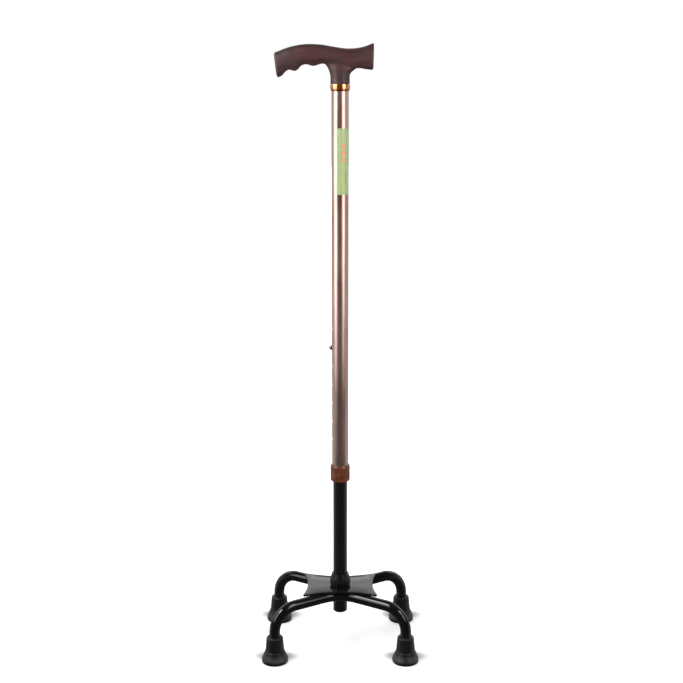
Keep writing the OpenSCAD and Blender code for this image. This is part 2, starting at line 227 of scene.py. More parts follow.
# Outline of the grip along its length: upper edge x and height above the neck's foot,
# lower edge x and height above it, half width
GRIP = [
    (-84, 38.8, -80.4, 9, 10),
    (-78, 41, -77.4, 8.4, 11),
    (-72.5, 43.2, -73, 11.2, 11.5),
    (-68, 44.8, -69, 15.6, 11.8),
    (-64, 46, -64.6, 17.6, 12.2),
    (-57.5, 47.5, -57.6, 16.1, 12.5),
    (-53, 48.4, -53.4, 18.2, 12.7),
    (-49, 49, -49.2, 22.6, 12.8),
    (-43, 49.5, -43, 24.3, 13),
    (-33.5, 49.5, -33.5, 22.3, 13),
    (-22.5, 48.7, -22.5, 25.1, 13),
    (-10, 46.6, -10, 23, 13),
    (4, 44.5, 4, 20, 13),
    (14, 44.1, 14, 18.6, 12.6),
    (24, 45, 24, 19.5, 12.2),
    (33, 47.3, 33, 18.2, 11.6),
    (43, 51.2, 42.2, 17.2, 11),
]
GRIP_SIDES = 96
GRIP_STEPS = 8
GRIP_POWER = 2.5
GRIP_END_R = 2
# Where the rows that round off an end face stand, as shares of the way to the next row
GRIP_END_SHARES = [0.02, 0.1, 0.25, 0.45, 0.7]
# Neck of the handle: height above its foot, reach to -X, reach to +X, half width
NECK = [
    (0, 12.4, 12.4, 12.4),
    (9, 12.4, 12.4, 12.4),
    (12, 12.8, 12.9, 12.5),
    (15, 13.6, 15, 12.6),
    (18, 14.8, 19, 12.4),
    (22, 17, 21, 11.8),
    (26, 20.5, 21, 10.5),
]
NECK_STEPS = 6
GRIP_VOXEL = 0.6
# Where grip and neck are blended: how far out along X, and from which height up to which height
# above the neck's foot, each with the start and end of its fade
BLEND_X = (16, 32)
BLEND_FOOT = (3, 10)
BLEND_TOP = (34, 40)
BLEND_ROUNDS = 40
FINISH_ROUNDS = 5


def signed_power(value, power):
    """The power of a number's size, with the number's sign."""
    return math.copysign(abs(value) ** power, value)


def grip_ring(row, pull, foot_z):
    """A superellipse section of the grip, drawn in by pull near an end face."""
    upper_x, upper, lower_x, lower, half_w = row
    half_h = (upper - lower) / 2
    ring = []
    for k in range(GRIP_SIDES):
        angle = 2 * math.pi * k / GRIP_SIDES
        up = signed_power(math.sin(angle), 2 / GRIP_POWER) * (half_h - pull) / half_h
        out = signed_power(math.cos(angle), 2 / GRIP_POWER) * (half_w - pull)
        at = (1 + up) / 2
        ring.append((lower_x + (upper_x - lower_x) * at, out, foot_z + lower + (upper - lower) * at))
    return ring


def edge_pull(distance):
    """How far the rounded edge of an end face draws a section in, at that distance from the face."""
    if distance >= GRIP_END_R:
        return 0
    return GRIP_END_R - math.sqrt(GRIP_END_R ** 2 - (GRIP_END_R - distance) ** 2)


def grip_stations():
    """The grip's rows, with extra rows where its end faces round off."""
    rows = smooth_rows(GRIP, GRIP_STEPS)
    first = [rows[0].lerp(rows[1], t) for t in GRIP_END_SHARES]
    last = [rows[-1].lerp(rows[-2], t) for t in reversed(GRIP_END_SHARES)]
    return [rows[0]] + first + rows[1:-1] + last + [rows[-1]]


def neck_ring(row, foot_z):
    """A section of the neck, with its own reach to the back and to the front."""
    height, back, front, half_w = row
    ring = []
    for k in range(GRIP_SIDES):
        angle = 2 * math.pi * k / GRIP_SIDES
        reach = back if math.cos(angle) < 0 else front
        ring.append((reach * math.cos(angle), half_w * math.sin(angle), foot_z + height))
    return ring


def handle_grip():
    """Grip and neck as one moulding: two lofts fused by a remesh, then blended where they meet."""
    foot_z = box_mm("handle_grip")[0].z
    bm = bmesh.new()
    stations = grip_stations()
    start_x = stations[0][0]
    end_x = stations[-1][0]
    loft(bm, [
        grip_ring(row, edge_pull(min(abs(row[0] - start_x), abs(end_x - row[0]))), foot_z)
        for row in stations
    ])
    loft(bm, [neck_ring(row, foot_z) for row in smooth_rows(NECK, NECK_STEPS)])
    piece = to_object(bm, "grip_moulding")
    with_modifier(piece, "REMESH", mode="VOXEL", voxel_size=GRIP_VOXEL * MM, use_smooth_shade=True)
    junction = piece.vertex_groups.new(name="junction")
    for vertex in piece.data.vertices:
        x, z = vertex.co.x / MM, vertex.co.z / MM - foot_z
        near = 1 - smoothstep(*BLEND_X, abs(x))
        low = smoothstep(*BLEND_FOOT, z) * (1 - smoothstep(*BLEND_TOP, z))
        junction.add([vertex.index], near * low, "REPLACE")
    with_modifier(piece, "SMOOTH", factor=0.5, iterations=BLEND_ROUNDS, vertex_group="junction")
    with_modifier(piece, "SMOOTH", factor=0.5, iterations=FINISH_ROUNDS)
    piece.vertex_groups.clear()
    return piece


# Height of the ring's lower bead
BEAD_H = 3


def trim_ring():
    """Bright ring between tube and neck: a flat band with rounded rims over a tapering bead."""
    low, high = box_mm("trim_ring")
    tube_top = box_mm("upper_tube")[1].z
    bore = radius_of("upper_tube") + CLEAR
    stud = radius_of("handle_stud") + CLEAR
    band = radius_of("trim_ring")
    waist = low.z + BEAD_H
    return lathe("gold_trim_ring", rounded([
        (stud, tube_top + CLEAR),
        (bore, tube_top + CLEAR),
        (bore, low.z),
        (bore + 0.5, low.z, 0.2),
        (band - 0.5, waist - 1.4, 1.2),
        (band - 0.5, waist - 0.3, 0.2),
        (band, waist + 0.3, 0.4),
        (band, high.z, 0.6),
        (stud, high.z),
    ]))


# ---------------------------------------------------------------- shaft

TUBE_WALL = 1
HOLE_PITCH = 25.4
HOLE_STEPS = range(-5, 2)
HOLE_R = 3.25
LOWER_HOLE_R = 3.2
TUBE_EDGE = 0.25
# How near a wall's radius a corner lies on that wall, and how squarely its face looks outwards
WALL_REACH = 0.02
WALL_FACING = 0.97


def hole_cutter(heights, radius, reach):
    """Round bars that stick out of the shaft's axis to the -X side."""
    bm = bmesh.new()
    for height in heights:
        middle = Matrix.Translation(Vector((-reach / 2, 0, height)) * MM)
        bmesh.ops.create_cone(
            bm, cap_ends=True, segments=48, radius1=radius * MM, radius2=radius * MM,
            depth=reach * MM, matrix=middle @ Matrix.Rotation(math.pi / 2, 4, "Y"),
        )
    return to_object(bm, "hole_cutter")


def round_normals(piece, outer_r, inner_r):
    """Exact normals on a tube's outer and inner wall, so that its holes don't dent the shading."""
    mesh = piece.data
    normals = [corner.vector.copy() for corner in mesh.corner_normals]
    for polygon in mesh.polygons:
        flat = Vector((polygon.normal.x, polygon.normal.y, 0))
        for index in polygon.loop_indices:
            spot = mesh.vertices[mesh.loops[index].vertex_index].co
            radial = Vector((spot.x, spot.y, 0))
            on_wall = min(abs(radial.length / MM - r) for r in (outer_r, inner_r)) < WALL_REACH
            if on_wall and abs(flat.dot(radial.normalized())) > WALL_FACING:
                normals[index] = radial.normalized() * math.copysign(1, flat.dot(radial))
    mesh.normals_split_custom_set(normals)


def shaft_tube(name, node, hole_heights, hole_r):
    """A tube with button holes through its -X side."""
    low, high = box_mm(node)
    radius = radius_of(node)
    piece = lathe(name, rounded([
        (radius - TUBE_WALL, low.z),
        (radius, low.z, TUBE_EDGE),
        (radius, high.z, TUBE_EDGE),
        (radius - TUBE_WALL, high.z),
    ]), sides=192)
    cutter = hole_cutter(hole_heights, hole_r, radius + 2)
    with_modifier(piece, "BOOLEAN", object=cutter, operation="DIFFERENCE", solver="EXACT")
    bpy.data.objects.remove(cutter)
    piece.data.shade_smooth()
    piece.data.set_sharp_from_angle(angle=math.radians(SHARP))
    round_normals(piece, radius, radius - TUBE_WALL)
    return piece


def upper_tube():
    """The rose tube, with its row of height holes."""
    button_z = centre_of("snap_button").z
    holes = [button_z + k * HOLE_PITCH for k in HOLE_STEPS]
    return shaft_tube("rose_upper_tube", "upper_tube", holes, HOLE_R)


def lower_tube():
    """The black tube, with one hole for the snap button."""
    return shaft_tube("black_lower_tube", "lower_tube", [centre_of("snap_button").z], LOWER_HOLE_R)


PIN_R = 3
FLANGE_T = 1
FLANGE_EDGE = 0.2
DOME_STEPS = 10


def snap_button():
    """A domed pin with a flange behind it, lying along -X."""
    low, high = box_mm("snap_button")
    flange_r = (high.z - low.z) / 2
    tip = -low.x
    back = -high.x
    shoulder = back + FLANGE_T
    dome = [
        (PIN_R * math.cos(a), tip - PIN_R + PIN_R * math.sin(a))
        for a in (math.radians(90 * k / DOME_STEPS) for k in range(DOME_STEPS + 1))
    ]
    flange = [
        (0, back),
        (flange_r, back, FLANGE_EDGE),
        (flange_r, shoulder, FLANGE_EDGE),
        (PIN_R, shoulder),
    ]
    piece = lathe("snap_button_pin", rounded(flange + dome), sides=64)
    place = Matrix.Translation(Vector((0, 0, centre_of("snap_button").z)) * MM)
    return turned(piece, place @ Matrix.Rotation(-math.pi / 2, 4, "Y"))


# ---------------------------------------------------------------- label

LABEL_FROM = math.radians(-109)
LABEL_TO = math.radians(-20)
LABEL_GAP = 0.02
LABEL_T = 0.15
LABEL_STEPS = 24


def label():
    """A thin film that wraps a quarter of the tube."""
    low, high = box_mm("tube_label")
    inner = radius_of("upper_tube") + LABEL_GAP
    outer = inner + LABEL_T
    bm = bmesh.new()
    rows = []
    for k in range(LABEL_STEPS + 1):
        angle = LABEL_FROM + (LABEL_TO - LABEL_FROM) * k / LABEL_STEPS
        out = Vector((math.cos(angle), math.sin(angle), 0))
        corners = [out * inner, out * outer, out * outer, out * inner]
        heights = [low.z, low.z, high.z, high.z]
        rows.append([bm.verts.new((c + Vector((0, 0, h))) * MM) for c, h in zip(corners, heights)])
    for row, following in zip(rows, rows[1:]):
        bridge(bm, row, following)
    bm.faces.new(rows[0])
    bm.faces.new(rows[-1])
    return to_object(bm, "label_strip")


# ---------------------------------------------------------------- lock collar

# Grooves on the collar's two sides: pitch, half of each fan and half a groove's width in degrees,
# depth, and how softly they start and end
RIB_PITCH = 8
RIB_HALF = 36
RIB_HALF_WIDTH = 2.4
RIB_DEPTH = 0.45
RIB_FADE = 0.7
RIB_MARGIN = 3
# Where the collar's wall has rings, as shares of the grooves' height
WALL_SHARES = (0, 0.04, 0.08, 0.5, 0.92, 0.96, 1)
# Length of the collar that goes over the upper tube
COLLAR_SLEEVE = 9


def collar_ribs(low_z, high_z, radius):
    """Radius of the collar with fine upright grooves on its left and right sides."""
    def bend(angle, r, z):
        if r < radius - 0.8:
            return r
        degrees = (math.degrees(angle) + 90) % 180 - 90
        inside = 1 - smoothstep(RIB_HALF - 1, RIB_HALF, abs(degrees))
        beside = (degrees + RIB_PITCH / 2) % RIB_PITCH - RIB_PITCH / 2
        groove = max(0, 1 - (beside / RIB_HALF_WIDTH) ** 2)
        upright = smoothstep(low_z, low_z + RIB_FADE, z) * (1 - smoothstep(high_z - RIB_FADE, high_z, z))
        return r - RIB_DEPTH * inside * groove * upright
    return bend


def lock_collar():
    """A round collar with a stepped, soft upper rim and upright grooves on its sides."""
    low, high = box_mm("lock_collar")
    radius = radius_of("lock_collar")
    tube = radius_of("upper_tube") + 0.1
    shaft = radius_of("lower_tube") + 0.2
    thread = radius_of("lower_tube") + 1.55
    seat = box_mm("compression_ring")[0].z - CLEAR
    ledge = high.z - COLLAR_SLEEVE
    rib_low = low.z + RIB_MARGIN
    rib_high = high.z - RIB_MARGIN
    wall = [(radius, rib_low + (rib_high - rib_low) * share) for share in WALL_SHARES]
    outline = rounded([
        (shaft, low.z, 0.3),
        (radius - 1.2, low.z, 0.6),
        (radius, low.z + 1, 0.6),
    ] + wall + [
        (radius, high.z - 2.4, 1),
        (radius - 0.9, high.z, 0.6),
        (tube, high.z, 0.4),
        (tube, ledge),
        (thread, ledge),
        (thread, seat),
        (shaft, seat),
    ])
    return lathe("collar_shell", outline, sides=360, bend=collar_ribs(rib_low, rib_high, radius))


# ---------------------------------------------------------------- base

LEG_R = 7.25
LEG_WALL = 1.4
LEG_BEND_R = 31
PASS_BEND_R = 40
LEG_BEND_STEPS = 24
PASS_BEND_STEPS = 12
PLATE_HALF_X = 52
PLATE_HALF_Y = 40
PLATE_DIP_Y = 11.5
PLATE_DIP_X = 7
PLATE_DIP_STEPS = 14
PLATE_CORNER_R = 2.4
PLATE_EDGE = 0.6
PLATE_HOLE_SIDES = 64


def arc(centre, start, axis, degrees, steps):
    """Points of an arc about an axis, from the start point."""
    return [
        centre + Matrix.Rotation(math.radians(degrees * k / steps), 3, axis) @ (start - centre)
        for k in range(steps + 1)
    ]


def half_leg():
    """Centreline of the front leg's right half, from its middle down into the foot."""
    low, high = box_mm("front_leg_tube")
    foot = centre_of("foot_front_right")
    leg_z = high.z - LEG_R
    leg_pass = LEG_R - high.y
    reach_x, reach_y = foot.x, -foot.y - leg_pass - PASS_BEND_R
    reach = math.hypot(reach_x, reach_y)
    turn = math.asin(PASS_BEND_R / reach) + math.atan2(reach_y, reach_x)
    along = Vector((math.cos(turn), -math.sin(turn), 0))
    beside = Vector((-along.y, along.x, 0))
    middle = Vector((0, -leg_pass, leg_z))
    first = arc(middle - Vector((0, PASS_BEND_R, 0)), middle, "Z", -math.degrees(turn), PASS_BEND_STEPS)
    corner = Vector((foot.x, foot.y, leg_z))
    bend_start = corner - along * LEG_BEND_R
    run = [first[-1].lerp(bend_start, t) for t in (0.33, 0.66)]
    down = arc(bend_start - Vector((0, 0, LEG_BEND_R)), bend_start, beside, 90, LEG_BEND_STEPS)
    return first + run + down + [Vector((foot.x, foot.y, low.z))]


def whole_leg():
    """Centreline of the front leg: the right half and its mirror image."""
    right = half_leg()
    return [Vector((-p.x, p.y, p.z)) for p in reversed(right[1:])] + right


def leg_tube(name, end):
    """A hollow leg. end is -1 for the front leg and 1 for the back leg."""
    path = [Vector((p.x, -end * p.y, p.z)) for p in whole_leg()]
    return sweep(name, path, (LEG_R, LEG_R - LEG_WALL))


def dipped_edge(start, end, dip, steps):
    """Points of a shallow arc from start up to end, dipping towards the origin between them."""
    chord = (end - start).length
    radius = (chord ** 2 / 4 + dip ** 2) / (2 * dip)
    middle = (start + end) / 2
    inward = -middle.normalized()
    centre = middle + inward * (dip - radius)
    half = math.asin(chord / 2 / radius)
    across = (end - start).normalized()
    angles = [-half + 2 * half * k / steps for k in range(steps)]
    return [centre + inward * radius * math.cos(a) + across * radius * math.sin(a) for a in angles]


def inset(outline, distance):
    """A closed outline moved inwards."""
    out = []
    for last, point, following in zip(outline[-1:] + outline[:-1], outline, outline[1:] + outline[:1]):
        along = (following - last).normalized()
        out.append(point + Vector((-along.y, along.x)) * distance)
    return out


def plate_outline():
    """The plate's edge from above: four soft corners and four dipped sides."""
    signs = ((-1, -1), (1, -1), (1, 1), (-1, 1))
    corners = [Vector((x * PLATE_HALF_X, y * PLATE_HALF_Y)) for x, y in signs]
    outline = []
    for i, corner in enumerate(corners):
        dip = PLATE_DIP_X if i % 2 else PLATE_DIP_Y
        edge = dipped_edge(corner, corners[(i + 1) % 4], dip, PLATE_DIP_STEPS)
        outline.append((corner.x, corner.y, PLATE_CORNER_R))
        outline += [(p.x, p.y) for p in edge[1:]]
    return rounded(outline, 8)


def star_plate():
    """A four-pointed plate with soft pressed edges and a hole for the socket."""
    low, high = box_mm("base_plate")
    outline = plate_outline()
    hole_r = radius_of("base_socket") + CLEAR
    levels = [
        (low.z, PLATE_EDGE),
        (low.z + 0.3 * PLATE_EDGE, 0.3 * PLATE_EDGE),
        (low.z + PLATE_EDGE, 0),
        (high.z - PLATE_EDGE, 0),
        (high.z - 0.3 * PLATE_EDGE, 0.3 * PLATE_EDGE),
        (high.z, PLATE_EDGE),
    ]
    bm = bmesh.new()
    rings = [[bm.verts.new(Vector((p.x, p.y, z)) * MM) for p in inset(outline, pull)] for z, pull in levels]
    for ring, above in zip(rings, rings[1:]):
        bridge(bm, ring, above)
    angles = [2 * math.pi * k / PLATE_HOLE_SIDES for k in range(PLATE_HOLE_SIDES)]
    circle = [Vector((hole_r * math.cos(a), hole_r * math.sin(a), 0)) for a in angles]
    holes = [[bm.verts.new((p + Vector((0, 0, z))) * MM) for p in circle] for z in (low.z, high.z)]
    bridge(bm, holes[0], holes[1])
    bm.edges.ensure_lookup_table()
    for ring, hole in ((rings[0], holes[0]), (rings[-1], holes[1])):
        rim = [e for e in bm.edges if set(e.verts) <= set(ring) or set(e.verts) <= set(hole)]
        bmesh.ops.triangle_fill(bm, edges=rim, use_beauty=True)
    return to_object(bm, "star_plate", 40)


# The nut: height of its widest part over the floor, how far above it the flutes end, their number
# and depth, and how softly they start and end
NUT_WIDE_Z = 88
FLUTE_TOP = 8
FLUTES = 16
FLUTE_DEPTH = 0.5
FLUTE_FADE_IN = 1.5
FLUTE_FADE_OUT = 3


def nut_flutes(radius, low_z, top_z):
    """Radius of the nut with shallow upright hollows round its widest part."""
    def bend(angle, r, z):
        if r < radius - 2:
            return r
        fade_in = smoothstep(low_z, low_z + FLUTE_FADE_IN, z)
        fade_out = 1 - smoothstep(top_z - FLUTE_FADE_OUT, top_z, z)
        return r - FLUTE_DEPTH * smoothstep(0, 1, math.cos(FLUTES * angle)) * fade_in * fade_out
    return bend


def lock_nut():
    """A barrel-shaped nut, fluted round its widest part, with a rolled upper rim."""
    low, high = box_mm("base_lock_nut")
    radius = radius_of("base_lock_nut")
    foot = radius - 1
    neck = radius - 2.5
    socket = radius_of("base_socket") + 0.1
    shaft = radius_of("lower_tube") + 0.2
    shoulder = box_mm("thrust_washer")[1].z + CLEAR
    wide = NUT_WIDE_Z
    outline = rounded([
        (socket, low.z),
        (foot, low.z, 0.4),
        (foot + 0.1, low.z + 1, 0.3),
        (radius - 0.35, wide - 2.6, 1.5),
        (radius, wide - 0.6, 1),
        (radius, wide + 0.8, 1),
        (radius - 0.35, wide + 2.6, 1.5),
        (radius - 0.9, wide + 4.6, 2),
        (radius - 1.7, wide + 7, 2),
        (neck - 0.15, high.z - 2.2, 0.4),
        (neck, high.z - 1.4, 0.4),
        (neck, high.z, 0.6),
        (shaft, high.z, 0.4),
        (shaft, shoulder),
        (socket, shoulder),
    ])
    return lathe("nut_shell", outline, sides=320, bend=nut_flutes(radius, low.z, wide + FLUTE_TOP))


FOOT_TREADS = (6, 10, 14)
TREAD_HALF = 0.8
TREAD_SLOPE = 0.2
TREAD_DEPTH = 1.2
FOOT_TOP_R = 11.3


def tread_outline(outer):
    """Underside of a foot from its middle outwards, with ring grooves."""
    points = [(0, 0)]
    for ring in FOOT_TREADS:
        points += [
            (ring - TREAD_HALF, 0, 0.25),
            (ring - TREAD_HALF + TREAD_SLOPE, TREAD_DEPTH, 0.3),
            (ring + TREAD_HALF - TREAD_SLOPE, TREAD_DEPTH, 0.3),
            (ring + TREAD_HALF, 0, 0.25),
        ]
    return points + [(outer - 0.6, 0, 0.4)]


def rubber_foot(node):
    """A flared foot: ring tread, rim, skirt with a moulded step, tapered sleeve with a soft shoulder."""
    high = box_mm(node)[1]
    radius = radius_of(node)
    centre = centre_of(node)
    bore = LEG_R + CLEAR
    pocket = box_mm("foot_discs")[0].z - CLEAR
    outline = rounded(tread_outline(radius) + [
        (radius, 0.7, 0.3),
        (radius, 5.6, 0.9),
        (radius - 0.8, 7, 0.8),
        (FOOT_TOP_R + 2.7, 13.6, 2),
        (FOOT_TOP_R + 2.1, 15.4, 0.6),
        (FOOT_TOP_R + 1.5, 15.9, 0.4),
        (FOOT_TOP_R, high.z - 4.5, 8),
        (FOOT_TOP_R - 0.4, high.z - 1.4, 1.6),
        (FOOT_TOP_R - 3, high.z, 2),
        (bore, high.z, 0.4),
        (bore, pocket),
        (0, pocket),
    ])
    return lathe("rubber_" + node, outline, sides=96, centre=(centre.x, centre.y), sharp_degrees=50)


def end_plug():
    """A plug in the shaft's lower end, with a domed head."""
    low, high = box_mm("shaft_end_cap")
    radius = radius_of("shaft_end_cap")
    tube_end = box_mm("lower_tube")[0].z
    stem = radius - TUBE_WALL - CLEAR
    return lathe("shaft_end_plug", rounded([
        (0, low.z + 0.1),
        (radius - 3, low.z + 0.1, 2),
        (radius - 1.2, low.z + 0.3, 1),
        (radius, low.z + 1.4, 0.9),
        (radius, tube_end - CLEAR, 0.3),
        (stem, tube_end - CLEAR, 0.1),
        (stem, high.z - 0.8, 0.3),
        (stem - 0.8, high.z, 0.3),
        (0, high.z),
    ]))


# Weld beads: radius, reach to each side of the middle, distance from the leg's axis, step along
# the bead, share by which its ripples swell it, and steps and share by which its ends taper
WELD_R = 1.5
WELD_SPAN = 24
WELD_ASIDE = 4.5
WELD_STEP = 0.9
WELD_RIPPLE = 0.1
WELD_END_STEPS = 4
WELD_END_TAPER = 0.9
WELD_SIDES = 10


def rope(bm, centres):
    """A solid weld bead along centre points, rippled, with rounded ends."""
    rings = []
    count = len(centres) - 1
    angles = [2 * math.pi * k / WELD_SIDES for k in range(WELD_SIDES)]
    for i, centre in enumerate(centres):
        along = (centres[min(i + 1, count)] - centres[max(i - 1, 0)]).normalized()
        side = along.cross(Vector((0, 0, 1))).normalized()
        up = side.cross(along)
        from_end = max(0, 1 - min(i, count - i) / WELD_END_STEPS)
        ripple = 1 + WELD_RIPPLE * math.cos(i * math.pi / 2)
        swell = WELD_R * ripple * math.sqrt(1 - from_end ** 2 * WELD_END_TAPER)
        rings.append([centre + (side * math.cos(a) + up * math.sin(a)) * swell for a in angles])
    loft(bm, rings)


def weld_beads():
    """Four beads that join the leg tubes to the plate's underside."""
    weld_z = box_mm("base_plate")[0].z - 0.75 * WELD_R
    bm = bmesh.new()
    leg = whole_leg()
    fine = []
    for a, b in zip(leg, leg[1:]):
        steps = max(1, round((b - a).length / WELD_STEP))
        fine += [a.lerp(b, k / steps) for k in range(steps)]
    fine = [p for p in fine if abs(p.x) < WELD_SPAN]
    for end in (-1, 1):
        for shift in (-WELD_ASIDE, WELD_ASIDE):
            path = []
            for last, point, following in zip(fine, fine[1:], fine[2:]):
                along = (following - last).normalized()
                spot = point + Vector((-along.y, along.x, 0)) * shift
                path.append(Vector((spot.x, -end * spot.y, weld_z)))
            rope(bm, path)
    return to_object(bm, "leg_welds", 60)


# ---------------------------------------------------------------- node helpers

class Nodes:
    """Adds shader nodes. Any input takes a plain value or another node's output."""

    def __init__(self, tree):
        self.tree = tree
        self.tree.nodes.clear()

    def add(self, kind, inputs=(), **settings):
        node = self.tree.nodes.new(kind)
        for key, value in settings.items():
            setattr(node, key, value)
        for key, value in dict(inputs).items():
            if isinstance(value, bpy.types.NodeSocket):
                self.tree.links.new(value, node.inputs[key])
            else:
                node.inputs[key].default_value = value
        return node

    def math(self, operation, a, b=0.0, clamp=False):
        return self.add("ShaderNodeMath", {0: a, 1: b}, operation=operation, use_clamp=clamp).outputs[0]

    def scaled(self, vector, scale):
        inputs = {0: vector, 1: scale}
        return self.add("ShaderNodeVectorMath", inputs, operation="MULTIPLY").outputs[0]

    def noise(self, vector, scale, detail=3.0, distortion=0.0):
        inputs = {"Vector": vector, "Scale": scale, "Detail": detail, "Distortion": distortion}
        return self.add("ShaderNodeTexNoise", inputs).outputs["Fac"]

    def remap(self, value, low, high, to_low, to_high, smooth=False):
        inputs = {0: value, 1: low, 2: high, 3: to_low, 4: to_high}
        kind = "SMOOTHSTEP" if smooth else "LINEAR"
        return self.add("ShaderNodeMapRange", inputs, interpolation_type=kind).outputs[0]

    def band(self, value, low, high, soft):
        """1 between low and high, falling to 0 over soft on each side."""
        rise = self.remap(value, low - soft, low + soft, 0.0, 1.0, smooth=True)
        fall = self.remap(value, high - soft, high + soft, 1.0, 0.0, smooth=True)
        return self.math("MULTIPLY", rise, fall)

    def mix(self, factor, a, b):
        node = self.add("ShaderNodeMix", data_type="RGBA")
        for index, value in ((0, factor), (6, a), (7, b)):
            if isinstance(value, bpy.types.NodeSocket):
                self.tree.links.new(value, node.inputs[index])
            else:
                node.inputs[index].default_value = value
        return node.outputs[2]

    def split(self, vector):
        return self.add("ShaderNodeSeparateXYZ", {0: vector}).outputs

    def length(self, vector):
        return self.add("ShaderNodeVectorMath", {0: vector}, operation="LENGTH").outputs["Value"]

    def place(self):
        """Position on the piece, in metres."""
        return self.add("ShaderNodeTexCoord").outputs["Object"]

    def edges(self, low, high):
        """1 on convex edges and 0 on flats."""
        pointiness = self.add("ShaderNodeNewGeometry").outputs["Pointiness"]
        return self.remap(pointiness, low, high, 0.0, 1.0)

    def bump(self, height, distance, strength=1.0):
        inputs = {"Height": height, "Distance": distance, "Strength": strength}
        return self.add("ShaderNodeBump", inputs).outputs[0]

    def surface(self, **inputs):
        named = {key.replace("_", " "): value for key, value in inputs.items()}
        shader = self.add("ShaderNodeBsdfPrincipled", named)
        self.add("ShaderNodeOutputMaterial", {"Surface": shader.outputs[0]})


def new_material(name):
    """A material and the helper that adds nodes to it."""
    material = bpy.data.materials.new(name)
    material.use_nodes = True
    return material, Nodes(material.node_tree)


def to_linear(number):
    """Linear brightness of an sRGB number, 0 to 255."""
    share = number / 255
    return ((share + 0.055) / 1.055) ** 2.4 if number > 10 else share / 12.92


def rgb(red, green, blue):
    """A colour from its sRGB numbers, 0 to 255."""
    return (to_linear(red), to_linear(green), to_linear(blue), 1.0)


# ---------------------------------------------------------------- materials

def grip_material():
    """Dark wood-effect moulding: streaks along the grip, fine pores, a satin skin with patchy roughness."""
    material, n = new_material("dark_wood_grip")
    place = n.place()
    streaks = n.noise(n.scaled(place, (14, 160, 110)), 1.0, 5.0, 0.8)
    fine = n.noise(n.scaled(place, (60, 1400, 1100)), 1.0, 3.0)
    patches = n.noise(place, 35.0, 2.0)
    grain = n.mix(n.remap(streaks, 0.36, 0.64, 0.0, 1.0, smooth=True), rgb(43, 24, 24), rgb(60, 31, 31))
    toned = n.mix(n.remap(patches, 0.4, 0.62, 0.0, 0.5), grain, rgb(44, 30, 30))
    pores = n.mix(n.remap(fine, 0.58, 0.74, 0.0, 0.35), toned, rgb(28, 18, 18))
    worn = n.mix(n.math("MULTIPLY", n.edges(0.52, 0.58), 0.35), pores, rgb(84, 62, 62))
    relief = n.math("ADD", n.math("MULTIPLY", fine, 0.4), n.noise(place, 1800.0, 2.0))
    n.surface(
        Base_Color=worn,
        Roughness=n.remap(patches, 0.3, 0.7, 0.42, 0.56),
        Normal=n.bump(relief, 0.00006, 0.5),
        Specular_IOR_Level=0.3,
    )
    return material


def gold_material():
    """Polished brass-gold plating with faint turning marks, and painted shade: the lower bead coloured
    darker and redder.
    """
    material, n = new_material("gold_plate")
    place = n.place()
    turning = n.noise(n.scaled(place, (40, 40, 9000)), 1.0, 2.0)
    haze = n.noise(place, 160.0, 3.0)
    # Painted shade: below the waist, the lower bead takes a darker, redder colour, the way the gold looks in
    # shade
    waist = (box_mm("trim_ring")[0].z + BEAD_H) * MM
    bead = n.remap(n.split(place)[2], waist - 0.0006, waist, 0.8, 0.0)
    plating = n.mix(haze, rgb(224, 140, 74), rgb(236, 158, 92))
    n.surface(
        Base_Color=n.mix(bead, plating, rgb(128, 50, 28)),
        Metallic=1.0,
        Roughness=n.remap(haze, 0.35, 0.65, 0.14, 0.22),
        Normal=n.bump(turning, 0.00001, 0.4),
        Coat_Weight=1.0,
        Coat_Roughness=0.1,
    )
    return material


def anodised_material(name, light, dark, gloss, rough):
    """Drawn aluminium with a dyed skin: lines along the tube, cloudy tone, tiny rubbed specks."""
    material, n = new_material(name)
    place = n.place()
    lines = n.noise(n.scaled(place, (2600, 2600, 9)), 1.0, 3.0)
    clouds = n.noise(n.scaled(place, (60, 60, 12)), 1.0, 3.0)
    specks = n.noise(place, 900.0, 2.0)
    tone = n.mix(n.remap(clouds, 0.35, 0.65, 0.0, 1.0), dark, light)
    lined = n.mix(n.remap(lines, 0.4, 0.7, 0.0, 0.25), tone, dark)
    rubbed = n.mix(n.remap(specks, 0.68, 0.76, 0.0, 0.4), lined, rgb(225, 200, 190))
    n.surface(
        Base_Color=rubbed,
        Metallic=1.0,
        Roughness=n.remap(clouds, 0.3, 0.7, gloss, rough),
        Normal=n.bump(lines, 0.00002, 0.35),
        Coat_Weight=1.0,
        Coat_Roughness=0.2,
    )
    return material


def coated_material(name, colour, gloss, rough, peel, speck_colour):
    """Painted or moulded black part: slight waviness, dust, edges rubbed paler."""
    material, n = new_material(name)
    place = n.place()
    waves = n.noise(place, 260.0, 2.0)
    dust = n.noise(place, 2200.0, 2.0)
    smears = n.noise(place, 45.0, 4.0, 0.6)
    dusty = n.mix(n.remap(dust, 0.64, 0.78, 0.0, 0.25), colour, speck_colour)
    worn = n.mix(n.math("MULTIPLY", n.edges(0.53, 0.62), 0.3), dusty, speck_colour)
    n.surface(
        Base_Color=worn,
        Roughness=n.remap(smears, 0.35, 0.7, gloss, rough),
        Normal=n.bump(waves, peel, 0.5),
    )
    return material


def collar_material():
    """Glossy red-brown plastic, swirled like the melt it was moulded from."""
    material, n = new_material("brown_plastic")
    place = n.place()
    swirl = n.noise(n.scaled(place, (70, 70, 110)), 1.0, 3.0, 0.5)
    fine = n.noise(place, 1500.0, 2.0)
    body = n.mix(n.remap(swirl, 0.3, 0.7, 0.0, 1.0), rgb(66, 30, 19), rgb(94, 49, 30))
    worn = n.mix(n.math("MULTIPLY", n.edges(0.52, 0.6), 0.5), body, rgb(150, 96, 72))
    n.surface(
        Base_Color=worn,
        Roughness=n.remap(swirl, 0.3, 0.7, 0.14, 0.22),
        Normal=n.bump(fine, 0.00003, 0.4),
    )
    return material


